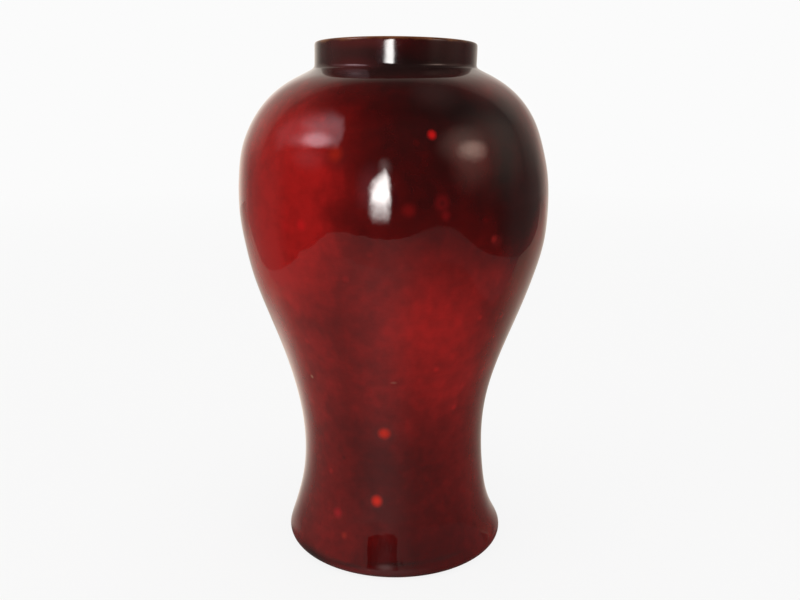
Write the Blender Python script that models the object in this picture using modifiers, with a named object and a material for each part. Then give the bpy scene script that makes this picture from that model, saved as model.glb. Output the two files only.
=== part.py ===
"""Baluster vase with a copper-red glaze: the fired clay body and the three glaze coats on it.

The vase is turned about Z and stands on the plane z = 0. Every face of it comes from one skin line,
which runs up the inside, over the lip and down the outside. The line carries its outward normal, so a
layer's far side is the same line sunk into the clay by the thickness of what lies above it, and a
change of one size moves every layer together.
"""

import math

import bpy
import numpy as np

MM = 0.001

# The outside, measured on the glaze
HEIGHT = 300.0 * MM
COLLAR_RADIUS = 45.9 * MM
COLLAR_HEIGHT = 13.3 * MM
COLLAR_FILLET = 1.2 * MM
BELLY_RADIUS = 90.4 * MM
BELLY_LEVEL = 211.3 * MM
WAIST_RADIUS = 55.6 * MM
WAIST_LEVEL = 62.0 * MM
FOOT_RADIUS = 66.7 * MM
FOOT_EDGE_RADIUS = 4.5 * MM

# How full the curves between those stations are: the angle at which the shoulder leaves the collar and
# the foot meets its edge, and each handle's length as a share of the step that it works on
SHOULDER_SLOPE = math.radians(32.0)
FOOT_FLARE = math.radians(3.0)
SHOULDER_TOP_FULLNESS = 0.29
SHOULDER_SIDE_FULLNESS = 0.775
BELLY_FULLNESS = 0.363
WAIST_UPPER_FULLNESS = 0.40
WAIST_LOWER_FULLNESS = 0.66
FOOT_FULLNESS = 0.06

# The wall and the inside
LIP_THICKNESS = 5.7 * MM
WAIST_WALL = 7.5 * MM
INSIDE_CORNER_RADIUS = 18.0 * MM
FLOOR_THICKNESS = 9.0 * MM

# The foot ring and the recess that it leaves under the floor, measured on the bare clay
RING_OUTER_BEVEL = 3.0 * MM
RING_WIDTH = 9.0 * MM
RING_INNER_BEVEL = 0.8 * MM
RECESS_DEPTH = 12.0 * MM
RECESS_CORNER_RADIUS = 4.0 * MM

# The glazes. The red coat thins over the lip and thickens as it runs down to a bead above the ring
RED_COAT_AT_LIP = 0.5 * MM
RED_COAT_AT_FOOT = 1.2 * MM
RED_COAT_DOWN_BORE = 7.0 * MM
RED_COAT_END = math.radians(-60.0)
RED_COAT_LIFT = 1.0 * MM
LINER_THICKNESS = 0.5 * MM
BASE_COAT_THICKNESS = 0.6 * MM
BASE_COAT_STOP = 3.5 * MM
CLEARANCE = 0.3 * MM

# Facets: steps round the axis and along each stretch of the skin line, fewer where only the inside has it
STEPS_ROUND = 40
OUTSIDE_STEPS = 8
INSIDE_STEPS = 4
FOOT_STEPS = 5
EDGE_STEPS = 4
LIP_STEPS = 6
FILLET_STEPS = 2
CORNER_STEPS = 4
BEAD_STEPS = 3

MERGE_DISTANCE = 0.00001
CREASE_ANGLE = math.radians(35.0)

FLOOR_LEVEL = RECESS_DEPTH + FLOOR_THICKNESS
LIP_RADIUS = LIP_THICKNESS / 2
BORE_RADIUS = COLLAR_RADIUS - LIP_THICKNESS
COLLAR_ROOT_LEVEL = HEIGHT - COLLAR_HEIGHT
FOOT_EDGE_CENTRE = (FOOT_RADIUS - FOOT_EDGE_RADIUS, RED_COAT_LIFT - FOOT_EDGE_RADIUS * math.sin(RED_COAT_END))


def arc(centre, radius, start, end, steps, hollow=False):
    """Points of an arc with their outward normals, which point at the centre where it is hollow."""
    angles = np.linspace(start, end, steps + 1)
    spokes = np.column_stack((np.cos(angles), np.sin(angles)))
    return np.hstack((np.asarray(centre) + radius * spokes, -spokes if hollow else spokes))


def straight(start, end):
    """The two ends of a straight stretch, with the normal to the left of its direction."""
    along = np.subtract(end, start) / np.hypot(*np.subtract(end, start))
    normal = (-along[1], along[0])
    return np.array([(*start, *normal), (*end, *normal)])


def bezier(start, start_handle, end_handle, end, steps):
    """Points of a cubic Bezier curve, with the normal to the left of its direction."""
    t = np.linspace(0, 1, steps + 1)[:, None]
    p0, p1, p2, p3 = (np.asarray(point) for point in (start, start_handle, end_handle, end))
    points = (1 - t) ** 3 * p0 + 3 * t * (1 - t) ** 2 * p1 + 3 * t ** 2 * (1 - t) * p2 + t ** 3 * p3
    slopes = (1 - t) ** 2 * (p1 - p0) + 2 * t * (1 - t) * (p2 - p1) + t ** 2 * (p3 - p2)
    slopes /= np.linalg.norm(slopes, axis=1, keepdims=True)
    return np.column_stack((points, -slopes[:, 1], slopes[:, 0]))


def join(*stretches):
    """One line through all the stretches, with each shared end kept once."""
    return np.vstack([stretches[0]] + [stretch[1:] for stretch in stretches[1:]])


def sink(line, depth):
    """The line moved into the clay, square to itself. depth is one number or one for each point."""
    depth = np.broadcast_to(depth, len(line))[:, None]
    return np.hstack((line[:, :2] - depth * line[:, 2:], line[:, 2:]))


def flank(steps):
    """The outside from the collar's root to the waist: fillet, shoulder and taper, steps in each curve."""
    turn = math.pi / 2 - SHOULDER_SLOPE
    tangent = COLLAR_FILLET * math.tan(turn / 2)
    downhill = np.array((math.cos(SHOULDER_SLOPE), -math.sin(SHOULDER_SLOPE)))
    fillet_centre = (COLLAR_RADIUS + COLLAR_FILLET, COLLAR_ROOT_LEVEL + tangent)
    fillet = arc(fillet_centre, COLLAR_FILLET, math.pi, math.pi + turn, FILLET_STEPS, hollow=True)
    top = fillet[-1, :2]
    belly = np.array((BELLY_RADIUS, BELLY_LEVEL))
    waist = np.array((WAIST_RADIUS, WAIST_LEVEL))
    top_reach = SHOULDER_TOP_FULLNESS * (BELLY_RADIUS - top[0]) / downhill[0]
    side_reach = SHOULDER_SIDE_FULLNESS * (top[1] - BELLY_LEVEL)
    taper = BELLY_LEVEL - WAIST_LEVEL
    shoulder = bezier(top, top + top_reach * downhill, belly + (0, side_reach), belly, steps)
    lower_flank = bezier(belly, belly - (0, BELLY_FULLNESS * taper),
                         waist + (0, WAIST_UPPER_FULLNESS * taper), waist, steps)
    return join(fillet, shoulder, lower_flank)


def foot():
    """The outside below the waist: the flare and the rounded edge that the red coat ends on."""
    edge = arc(FOOT_EDGE_CENTRE, FOOT_EDGE_RADIUS, FOOT_FLARE, RED_COAT_END, EDGE_STEPS)
    waist = np.array((WAIST_RADIUS, WAIST_LEVEL))
    drop = WAIST_LEVEL - edge[0, 1]
    uphill = np.array((-math.sin(FOOT_FLARE), math.cos(FOOT_FLARE)))
    flare = bezier(waist, waist - (0, WAIST_LOWER_FULLNESS * drop),
                   edge[0, :2] + FOOT_FULLNESS * drop * uphill, edge[0, :2], FOOT_STEPS)
    return join(flare, edge)


def outside():
    """The red coat's skin, from its end in the bore, over the lip and down to its end at the foot."""
    lip_centre = (COLLAR_RADIUS - LIP_RADIUS, HEIGHT - LIP_RADIUS)
    bore = straight((BORE_RADIUS, HEIGHT - RED_COAT_DOWN_BORE), (BORE_RADIUS, lip_centre[1]))
    lip = arc(lip_centre, LIP_RADIUS, math.pi, 0, LIP_STEPS)
    body = flank(OUTSIDE_STEPS)
    collar = straight((COLLAR_RADIUS, lip_centre[1]), body[0, :2])
    return join(bore, lip, collar, body, foot())


def inside():
    """The liner's skin, from the middle of the floor up to where the red coat ends in the bore."""
    body = flank(INSIDE_STEPS)
    share_down = (COLLAR_ROOT_LEVEL - body[:, 1]) / (COLLAR_ROOT_LEVEL - WAIST_LEVEL)
    wall = LIP_THICKNESS + np.clip(share_down, 0, 1) * (WAIST_WALL - LIP_THICKNESS)
    body = sink(body, wall)[::-1] * (1, 1, -1, -1)
    corner_centre = (body[0, 0] - INSIDE_CORNER_RADIUS, FLOOR_LEVEL + INSIDE_CORNER_RADIUS)
    corner = arc(corner_centre, INSIDE_CORNER_RADIUS, -math.pi / 2, 0, CORNER_STEPS, hollow=True)
    floor = straight((0, FLOOR_LEVEL), corner[0, :2])
    side = straight(corner[-1, :2], body[0, :2])
    bore = straight(body[-1, :2], (BORE_RADIUS, HEIGHT - RED_COAT_DOWN_BORE - CLEARANCE))
    return join(floor, corner, side, body, bore)


def red_coat_depth(line):
    """The red coat's thickness at each point, which grows evenly from the lip down to the foot."""
    share_down = (HEIGHT - line[:, 1]) / HEIGHT
    return RED_COAT_AT_LIP + share_down * (RED_COAT_AT_FOOT - RED_COAT_AT_LIP)


def clay_outside():
    """The clay under the red coat, from the coat's end in the bore to its end at the foot."""
    skin = outside()
    return sink(skin, red_coat_depth(skin) + CLEARANCE)


def ring_radii():
    """The outer and inner radius of the foot ring, inside the bevel under the red coat's end."""
    outer = clay_outside()[-1, 0] - RING_OUTER_BEVEL
    return outer, outer - RING_WIDTH


def recess():
    """The clay under the floor, from the middle of the recess out to its wall and down the wall."""
    ring_inner = ring_radii()[1]
    centre = (ring_inner - RECESS_CORNER_RADIUS, RECESS_DEPTH - RECESS_CORNER_RADIUS)
    corner = arc(centre, RECESS_CORNER_RADIUS, math.pi / 2, 0, CORNER_STEPS, hollow=True)
    ceiling = straight(corner[0, :2], (0, RECESS_DEPTH))[::-1]
    wall = straight((ring_inner, BASE_COAT_STOP), corner[-1, :2])[::-1]
    return join(ceiling, corner, wall)


def bead(skin_end, far_end):
    """The rounded end of a coat: a half circle from its skin to its far side, past the skin's end."""
    middle = (skin_end[:2] + far_end[:2]) / 2
    start = math.atan2(*(skin_end[:2] - middle)[::-1])
    radius = np.hypot(*(skin_end[:2] - middle))
    return arc(middle, radius, start, start - math.pi, BEAD_STEPS)[1:-1]


def body_section():
    """The clay: up the inside, over the lip, down the outside, across the ring and into the recess."""
    inner = sink(inside(), LINER_THICKNESS + CLEARANCE)
    ring_outer, ring_inner = ring_radii()
    ring = [(ring_outer, 0), (ring_inner + RING_INNER_BEVEL, 0), (ring_inner, RING_INNER_BEVEL)]
    return np.vstack((inner[:, :2], clay_outside()[:, :2], ring, recess()[::-1, :2]))


def red_coat_section():
    """The red coat: its skin, the bead above the foot ring, and back up the side on the clay."""
    skin = outside()
    far = sink(skin, red_coat_depth(skin))
    return np.vstack((skin[:, :2], bead(skin[-1], far[-1])[:, :2], far[::-1, :2]))


def liner_section():
    """The liner: its skin up to the red coat's end in the bore, and back down the side on the clay."""
    skin = inside()
    return np.vstack((skin[:, :2], sink(skin, LINER_THICKNESS)[::-1, :2]))


def base_coat_section():
    """The coat in the recess: out along the clay, down the wall to its bead, and back to the middle."""
    clay_side = sink(recess(), -CLEARANCE)
    skin = sink(recess(), -CLEARANCE - BASE_COAT_THICKNESS)
    end = bead(clay_side[-1], skin[-1])
    return np.vstack((clay_side[:, :2], end[:, :2], skin[::-1, :2]))


def make_material(name, color, roughness):
    """A Principled BSDF material for one layer."""
    material = bpy.data.materials.new(name)
    material.use_nodes = True
    shader = material.node_tree.nodes["Principled BSDF"]
    shader.inputs["Base Color"].default_value = (*color, 1)
    shader.inputs["Roughness"].default_value = roughness
    shader.inputs["Metallic"].default_value = 0
    material.diffuse_color = (*color, 1)
    return material


def turn_section(name, section, material, collection):
    """One layer: its section swept round Z by a Screw, shaded smooth but for its creases."""
    count = len(section)
    on_axis = abs(section[0, 0]) < MERGE_DISTANCE and abs(section[-1, 0]) < MERGE_DISTANCE
    edges = [(i, i + 1) for i in range(count - 1)] + ([] if on_axis else [(count - 1, 0)])
    profile = bpy.data.meshes.new(name + "_section")
    profile.from_pydata([(r, 0, z) for r, z in section], edges, [])
    layer = bpy.data.objects.new(name, profile)
    collection.objects.link(layer)
    screw = layer.modifiers.new("Turn", "SCREW")
    screw.steps = STEPS_ROUND
    screw.render_steps = STEPS_ROUND
    screw.use_merge_vertices = True
    screw.merge_threshold = MERGE_DISTANCE
    turned = bpy.data.meshes.new_from_object(layer.evaluated_get(bpy.context.evaluated_depsgraph_get()))
    layer.modifiers.clear()
    layer.data = turned
    bpy.data.meshes.remove(profile)
    turned.name = name
    turned.shade_smooth()
    turned.set_sharp_from_angle(angle=CREASE_ANGLE)
    turned.materials.clear()
    turned.materials.append(material)
    return layer


def main():
    """Clear the scene and build the four layers."""
    for old in list(bpy.data.objects):
        bpy.data.objects.remove(old, do_unlink=True)
    collection = bpy.data.collections.new("baluster_vase")
    bpy.context.scene.collection.children.link(collection)

    layers = (
        ("vase_body", body_section(), make_material("bare_clay", (0.62, 0.50, 0.38), 0.80)),
        ("outer_glaze", red_coat_section(), make_material("copper_red_glaze", (0.30, 0.025, 0.012), 0.08)),
        ("liner_glaze", liner_section(), make_material("liner_glaze", (0.72, 0.69, 0.58), 0.15)),
        ("base_glaze", base_coat_section(), make_material("base_glaze", (0.66, 0.60, 0.47), 0.20)),
    )
    for name, section, material in layers:
        turn_section(name, section, material, collection)


main()
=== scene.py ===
"""Looks for a baluster vase: bare clay, a copper-red coat, a pale liner and a pale coat in the foot.

Every layer is a closed skin line in the plane of radius and height, swept round the axis as one numpy
grid, and then shifted by the same small wobble of the potter's hand, so that the layers stay nested.
The classes of the vase give lengths in millimetres and angles in degrees, until a mesh is made in metres.
The studio round it is in metres. LEVEL_ONLY is a reach that leaves the height out of a place's length.
"""

import logging
import math
from dataclasses import dataclass
from enum import Enum
from functools import cached_property

import bpy
import numpy as np
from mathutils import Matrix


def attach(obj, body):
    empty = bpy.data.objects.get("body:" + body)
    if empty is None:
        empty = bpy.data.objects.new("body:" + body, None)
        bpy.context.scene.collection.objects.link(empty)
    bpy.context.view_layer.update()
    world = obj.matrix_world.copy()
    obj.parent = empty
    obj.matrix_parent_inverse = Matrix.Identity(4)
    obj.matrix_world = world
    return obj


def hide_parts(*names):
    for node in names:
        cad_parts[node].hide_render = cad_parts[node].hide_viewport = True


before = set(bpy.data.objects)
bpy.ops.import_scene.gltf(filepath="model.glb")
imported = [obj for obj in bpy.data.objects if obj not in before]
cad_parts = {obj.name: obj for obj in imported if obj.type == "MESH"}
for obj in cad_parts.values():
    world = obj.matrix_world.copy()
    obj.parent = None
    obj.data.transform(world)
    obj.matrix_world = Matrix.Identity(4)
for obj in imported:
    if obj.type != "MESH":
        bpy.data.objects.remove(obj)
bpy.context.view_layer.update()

LOG = logging.getLogger("baluster_vase")
BODY = "root"
MM = 0.001
STEPS_ROUND = 224
POLE_RADIUS = 0.001
SHARP_ANGLE = 40
NO_TRIANGLES = np.empty((0, 3), int)
BELLY_MIDDLE = 0.22
LEVEL_ONLY = (1.0, 1.0, 1000.0)

Array = np.ndarray
Socket = bpy.types.NodeSocket
Colour = tuple[float, float, float]
Point = tuple[float, float]
Tones = tuple[tuple[float, Colour], ...]


class Slot(Enum):
    """The material slots that the layers take their finish from."""

    CLAY = "bare_clay"
    RED = "copper_red_glaze"
    LINER = "liner_glaze"
    BASE = "base_glaze"


class Ease(Enum):
    """How a value passes from one end of its range to the other."""

    STRAIGHT = "LINEAR"
    SOFT = "SMOOTHSTEP"


def arc(centre: Point, radius: float, start: float, end: float, steps: int, hollow: bool = False) -> Array:
    """Points on a circle between two angles, each with its outward normal.

    Args:
        centre: The circle's radius from the axis and its height.
        radius: The circle's own radius.
        start: The first angle in radians, where 0 points away from the axis.
        end: The last angle.
        steps: How many stretches the arc is cut into.
        hollow: Whether the normals point at the centre.

    Returns:
        Rows of radius, height and the normal's two parts.
    """
    angles = np.linspace(start, end, steps + 1)
    spokes = np.column_stack((np.cos(angles), np.sin(angles)))
    return np.hstack((np.asarray(centre) + radius * spokes, -spokes if hollow else spokes))


def squared_arc(centre: Point, radius: float, squareness: float, steps: int) -> Array:
    """A half turn over the top of a rounded square, which with a squareness of 2 is round.

    Its points are cos^(2/n) t and sin^(2/n) t times the radius for a squareness n, and its normals run
    as the powers n - 1 of them.

    Args:
        centre: The radius and height of its centre.
        radius: Its half width, which is also how high it stands over the centre.
        squareness: The power n.
        steps: How many stretches it is cut into.

    Returns:
        Rows of radius, height and normal, from the inside over the top to the outside.
    """
    t = np.linspace(math.pi, 0, steps + 1)
    ways = np.column_stack((np.cos(t), np.sin(t)))
    ways[np.abs(ways) < 1e-9] = 0
    places = np.sign(ways) * np.abs(ways) ** (2 / squareness)
    normals = np.sign(places) * np.abs(places) ** (squareness - 1)
    normals /= np.linalg.norm(normals, axis=1)[:, None]
    return np.hstack((np.array(centre) + radius * places, normals))


def straight(start: Point, end: Point, steps: int = 1) -> Array:
    """Evenly spaced points on a line, with the normal to the left of its direction.

    Args:
        start: The first point's radius and height.
        end: The last point's radius and height.
        steps: How many stretches the line is cut into.

    Returns:
        Rows of radius, height and the normal's two parts.
    """
    t = np.linspace(0, 1, steps + 1)[:, None]
    run = np.subtract(end, start)
    along = run / np.hypot(*run)
    return np.hstack((np.asarray(start) + t * run, np.broadcast_to((-along[1], along[0]), (steps + 1, 2))))


def bezier(start: Array, start_handle: Array, end_handle: Array, end: Array, steps: int) -> Array:
    """A cubic Bezier curve, whose points weigh its four controls by (1-t)^3, 3t(1-t)^2, 3t^2(1-t), t^3.

    Args:
        start: The first point.
        start_handle: The handle that the curve leaves along.
        end_handle: The handle that the curve arrives along.
        end: The last point.
        steps: How many stretches the curve is cut into.

    Returns:
        Rows of radius, height and the normal's two parts, with the normal to the left.
    """
    t = np.linspace(0, 1, steps + 1)[:, None]
    points = ((1 - t) ** 3 * start + 3 * t * (1 - t) ** 2 * start_handle
              + 3 * t ** 2 * (1 - t) * end_handle + t ** 3 * end)
    slopes = ((1 - t) ** 2 * (start_handle - start) + 2 * t * (1 - t) * (end_handle - start_handle)
              + t ** 2 * (end - end_handle))
    slopes /= np.linalg.norm(slopes, axis=1, keepdims=True)
    return np.column_stack((points, -slopes[:, 1], slopes[:, 0]))


def join(*stretches: Array) -> Array:
    """One line through all the stretches, with each shared end kept once."""
    return np.vstack([stretches[0]] + [stretch[1:] for stretch in stretches[1:]])


def sink(line: Array, depth: float | Array) -> Array:
    """The line moved against its normals by depth, which is one number or one for each point."""
    depth = np.broadcast_to(depth, len(line))[:, None]
    return np.hstack((line[:, :2] - depth * line[:, 2:], line[:, 2:]))


@dataclass(frozen=True)
class SkinLine:
    """The vase's outline, in millimetres: the glazed outside, the inside and the recess in the foot."""

    height: float = 300.0
    collar_radius: float = 46.35
    collar_height: float = 13.3
    collar_fillet: float = 3.0
    belly_radius: float = 90.4
    belly_level: float = 211.3
    waist_radius: float = 55.6
    waist_level: float = 62.0
    foot_radius: float = 67.1
    foot_edge_radius: float = 4.5
    shoulder_slope: float = 32.0
    foot_flare: float = 3.0
    shoulder_top_fullness: float = 0.29
    shoulder_side_fullness: float = 0.775
    belly_fullness: float = 0.363
    waist_upper_fullness: float = 0.40
    waist_lower_fullness: float = 0.66
    foot_fullness: float = 0.06
    lip_thickness: float = 5.7
    lip_squareness: float = 4.0
    waist_wall: float = 7.5
    inside_corner_radius: float = 18.0
    floor_thickness: float = 9.0
    ring_outer_bevel: float = 3.0
    ring_width: float = 9.0
    ring_inner_bevel: float = 0.8
    recess_depth: float = 12.0
    recess_corner_radius: float = 4.0
    red_coat_at_lip: float = 0.5
    red_coat_at_foot: float = 1.2
    red_coat_down_bore: float = 7.0
    red_coat_end: float = -60.0
    red_coat_lift: float = 1.0
    liner_thickness: float = 0.5
    base_coat_thickness: float = 0.6
    base_coat_stop: float = 3.5
    ring_edge_ease: Point = (0.4, 0.15)
    clearance: float = 0.3

    @property
    def collar_root(self) -> float:
        """The level at which the collar stands on the shoulder."""
        return self.height - self.collar_height

    @property
    def bore(self) -> float:
        """The radius of the mouth."""
        return self.collar_radius - self.lip_thickness

    def flank(self, steps: int) -> Array:
        """The outside from the collar's root to the waist: a hollow fillet, the shoulder and the taper.

        Args:
            steps: How many stretches each of the two long curves is cut into.

        Returns:
            Rows of radius, height and normal, from the top down.
        """
        slope = math.radians(self.shoulder_slope)
        turn = math.pi / 2 - slope
        downhill = np.array((math.cos(slope), -math.sin(slope)))
        fillet_centre = (self.collar_radius + self.collar_fillet,
                         self.collar_root + self.collar_fillet * math.tan(turn / 2))
        fillet = arc(fillet_centre, self.collar_fillet, math.pi, math.pi + turn, 8, hollow=True)
        top = fillet[-1, :2]
        belly = np.array((self.belly_radius, self.belly_level))
        waist = np.array((self.waist_radius, self.waist_level))
        top_reach = self.shoulder_top_fullness * (self.belly_radius - top[0]) / downhill[0]
        side_reach = self.shoulder_side_fullness * (top[1] - self.belly_level)
        taper = self.belly_level - self.waist_level
        shoulder = bezier(top, top + top_reach * downhill, belly + (0, side_reach), belly, steps)
        lower = bezier(belly, belly - (0, self.belly_fullness * taper),
                       waist + (0, self.waist_upper_fullness * taper), waist, steps)
        return join(fillet, shoulder, lower)

    def foot(self) -> Array:
        """The outside below the waist: the flare and the round edge that the red coat ends on."""
        end = math.radians(self.red_coat_end)
        flare = math.radians(self.foot_flare)
        centre = (self.foot_radius - self.foot_edge_radius,
                  self.red_coat_lift - self.foot_edge_radius * math.sin(end))
        edge = arc(centre, self.foot_edge_radius, flare, end, 16)
        waist = np.array((self.waist_radius, self.waist_level))
        drop = self.waist_level - edge[0, 1]
        uphill = np.array((-math.sin(flare), math.cos(flare)))
        skirt = bezier(waist, waist - (0, self.waist_lower_fullness * drop),
                       edge[0, :2] + self.foot_fullness * drop * uphill, edge[0, :2], 40)
        return join(skirt, edge)

    def outside(self) -> Array:
        """The red coat's skin, from its end in the bore, over the lip and down to the foot."""
        lip_radius = self.lip_thickness / 2
        centre = (self.collar_radius - lip_radius, self.height - lip_radius)
        bore = straight((self.bore, self.height - self.red_coat_down_bore), (self.bore, centre[1]), 4)
        lip = squared_arc(centre, lip_radius, self.lip_squareness, 28)
        flank = self.flank(72)
        collar = straight((self.collar_radius, centre[1]), flank[0, :2], 10)
        return join(bore, lip, collar, flank, self.foot())

    def inside(self) -> Array:
        """The liner's skin, from the middle of the floor up to where the red coat ends in the bore."""
        flank = self.flank(36)
        share_down = (self.collar_root - flank[:, 1]) / (self.collar_root - self.waist_level)
        wall = self.lip_thickness + np.clip(share_down, 0, 1) * (self.waist_wall - self.lip_thickness)
        flank = sink(flank, wall)[::-1] * (1, 1, -1, -1)
        floor_level = self.recess_depth + self.floor_thickness
        centre = (flank[0, 0] - self.inside_corner_radius, floor_level + self.inside_corner_radius)
        corner = arc(centre, self.inside_corner_radius, -math.pi / 2, 0, 12, hollow=True)
        floor = straight((0, floor_level), corner[0, :2], 12)
        side = straight(corner[-1, :2], flank[0, :2], 4)
        top = (self.bore, self.height - self.red_coat_down_bore - self.clearance)
        return join(floor, corner, side, flank, straight(flank[-1, :2], top, 4))

    def red_coat_depth(self, line: Array) -> Array:
        """The red coat's thickness at each point, growing evenly from the lip down to the foot."""
        share_down = (self.height - line[:, 1]) / self.height
        return self.red_coat_at_lip + share_down * (self.red_coat_at_foot - self.red_coat_at_lip)

    def clay_outside(self) -> Array:
        """The clay under the red coat, from the coat's end in the bore to its end at the foot."""
        skin = self.outside()
        return sink(skin, self.red_coat_depth(skin) + self.clearance)

    def ring_radii(self) -> Point:
        """The outer and inner radius of the foot ring, inside the bevel under the red coat's end."""
        outer = self.clay_outside()[-1, 0] - self.ring_outer_bevel
        return outer, outer - self.ring_width

    def recess(self) -> Array:
        """The clay under the floor, from the middle of the recess out to its wall and down the wall."""
        ring_inner = self.ring_radii()[1]
        centre = (ring_inner - self.recess_corner_radius, self.recess_depth - self.recess_corner_radius)
        corner = arc(centre, self.recess_corner_radius, math.pi / 2, 0, 10, hollow=True)
        ceiling = straight(corner[0, :2], (0, self.recess_depth), 10)[::-1]
        wall = straight((ring_inner, self.base_coat_stop), corner[-1, :2], 2)[::-1]
        return join(ceiling, corner, wall)


def bead(skin_end: Array, far_end: Array, steps: int = 10) -> Array:
    """The rounded end of a coat: the half circle from its skin to its far side, past the skin's end.

    Args:
        skin_end: The last row of the skin.
        far_end: The last row of the coat's far side.
        steps: How many stretches the half circle is cut into.

    Returns:
        Rows of the points between the two ends.
    """
    middle = (skin_end[:2] + far_end[:2]) / 2
    start = math.atan2(*(skin_end[:2] - middle)[::-1])
    radius = np.hypot(*(skin_end[:2] - middle))
    return arc(tuple(middle), radius, start, start - math.pi, steps)[1:-1]


@dataclass(frozen=True)
class Sway:
    """A stretch of the vase that leans aside: level and reach up and down, and how far to the right."""

    level: float
    reach: float
    amount: float


@dataclass(frozen=True)
class HandWork:
    """How the thrown pot strays from a true turned form, in millimetres.

    The axis sways to the side by a sum of bell curves of the height. The collar tips, so that its
    right side lies lower, and its root sags at the front. The wall is drawn in by a few slow waves round
    and up it, and by faint throwing rings.
    """

    sways: tuple[Sway, ...] = (
        Sway(300.0, 28.0, 1.4),
        Sway(242.0, 13.0, -0.6),
        Sway(187.0, 15.0, 0.55),
        Sway(97.0, 30.0, -0.7),
        Sway(24.0, 14.0, -0.45),
        Sway(0.0, 9.0, 1.1),
    )
    collar_drop: float = 0.9
    collar_bend: Point = (281.0, 293.0)
    root_dip: Point = (0.3, 2.1)
    root_dip_place: Point = (286.0, 6.0)
    waves: tuple[tuple[int, float, float, float], ...] = (
        (2, 150.0, 0.06, 0.4),
        (3, 84.0, 0.05, 2.1),
        (5, 52.0, 0.03, 4.0),
    )
    ring_pitch: float = 13.0
    ring_depth: float = 0.010
    ring_wander: float = 0.6

    def apply(self, points: Array, line: SkinLine) -> Array:
        """Shifts points of the true form to where the potter's hand left them.

        Args:
            points: Rows of x, y and z.
            line: The outline that the points lie on or in.

        Returns:
            Rows of x, y and z.
        """
        x, y, z = points.T
        angle = np.arctan2(x, -y)
        radius = np.hypot(x, y)
        inward = np.zeros(len(points))
        for turns, length, depth, phase in self.waves:
            inward += depth * (1 + np.sin(turns * angle + 2 * math.pi * z / length + phase)) / 2
        ring = 2 * math.pi * z / self.ring_pitch + self.ring_wander * np.sin(angle)
        inward += self.ring_depth * (1 + np.sin(ring)) / 2
        share = np.clip(radius / line.collar_radius, 0, 1)
        scale = 1 - inward * share / np.maximum(radius, line.collar_radius)
        sway = sum(s.amount * np.exp(-((z - s.level) / s.reach) ** 2) for s in self.sways)
        low, high = self.collar_bend
        t = np.clip((z - low) / (high - low), 0, 1)
        tip = t * t * (3 - 2 * t) * self.collar_drop
        drop = tip * (x + line.collar_radius) / (2 * line.collar_radius)
        middle, reach = self.root_dip_place
        dip = self.root_dip[0] * (1 - np.sin(angle)) / 2 + self.root_dip[1] * ((1 + np.cos(angle)) / 2) ** 3
        dip = dip * np.exp(-((z - middle) / reach) ** 2)
        return np.column_stack((x * scale + sway, y * scale, z - np.clip(drop, 0, None) - dip))


def turned_mesh(name: str, section: Array, line: SkinLine, hand: HandWork) -> bpy.types.Mesh:
    """Sweeps a section round the axis: x = r sin(angle), y = -r cos(angle), with z as it is.

    A section that starts and ends on the axis gets a fan of triangles at each pole. Any other section is
    a loop, and its last point joins its first.

    Args:
        name: The mesh's name.
        section: Rows of radius and height in millimetres, with the solid to the right of their run.
        line: The outline, for the hand's wobble.
        hand: The wobble that every layer shares.

    Returns:
        A closed mesh in metres, with its faces pointing out.
    """
    poles = section[0, 0] < POLE_RADIUS and section[-1, 0] < POLE_RADIUS
    rings = section[1:-1] if poles else section
    angles = np.linspace(0, 2 * math.pi, STEPS_ROUND, endpoint=False)
    radius, turn = np.meshgrid(rings[:, 0], angles, indexing="ij")
    level = np.broadcast_to(rings[:, 1][:, None], radius.shape)
    grid = np.stack((radius * np.sin(turn), -radius * np.cos(turn), level), axis=-1).reshape(-1, 3)
    rows = len(rings)
    index = np.arange(rows * STEPS_ROUND).reshape(rows, STEPS_ROUND)
    upper = index[:-1] if poles else index
    lower = index[1:] if poles else np.roll(index, -1, axis=0)
    quads = np.stack((upper, lower, np.roll(lower, -1, axis=1), np.roll(upper, -1, axis=1)), axis=-1)
    fans = NO_TRIANGLES
    if poles:
        grid = np.vstack((grid, (0, 0, section[0, 1]), (0, 0, section[-1, 1])))
        first, last = index[0], index[-1]
        start, end = len(grid) - 2, len(grid) - 1
        top = np.column_stack((np.full(STEPS_ROUND, start), first, np.roll(first, -1)))
        bottom = np.column_stack((last, np.full(STEPS_ROUND, end), np.roll(last, -1)))
        fans = np.vstack((top, bottom))
    return mesh_of(name, hand.apply(grid, line) * MM, quads.reshape(-1, 4), fans)


def mesh_of(name: str, points: Array, quads: Array, triangles: Array = NO_TRIANGLES) -> bpy.types.Mesh:
    """A mesh with smooth faces, filled straight from arrays.

    Args:
        name: The mesh's name.
        points: Rows of x, y and z in metres.
        quads: Rows of four point numbers.
        triangles: Rows of three point numbers.

    Returns:
        The new mesh.
    """
    mesh = bpy.data.meshes.new(name)
    corners = np.concatenate((quads.ravel(), triangles.ravel())).astype(np.int32)
    sizes = np.concatenate((np.full(len(quads), 4), np.full(len(triangles), 3)))
    starts = np.concatenate(((0,), np.cumsum(sizes)[:-1])).astype(np.int32)
    mesh.vertices.add(len(points))
    mesh.vertices.foreach_set("co", points.ravel())
    mesh.loops.add(len(corners))
    mesh.loops.foreach_set("vertex_index", corners)
    mesh.polygons.add(len(sizes))
    mesh.polygons.foreach_set("loop_start", starts)
    mesh.update(calc_edges=True)
    mesh.validate()
    mesh.shade_smooth()
    return mesh


def placed(data: bpy.types.ID, *materials: bpy.types.Material) -> bpy.types.Object:
    """An object that is linked to the scene under its data's name.

    Args:
        data: The mesh, lamp or camera.
        materials: A mesh's materials, in the order of its slots.

    Returns:
        The object.
    """
    for material in materials:
        data.materials.append(material)
    thing = bpy.data.objects.new(data.name, data)
    bpy.context.scene.collection.objects.link(thing)
    return thing


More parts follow.
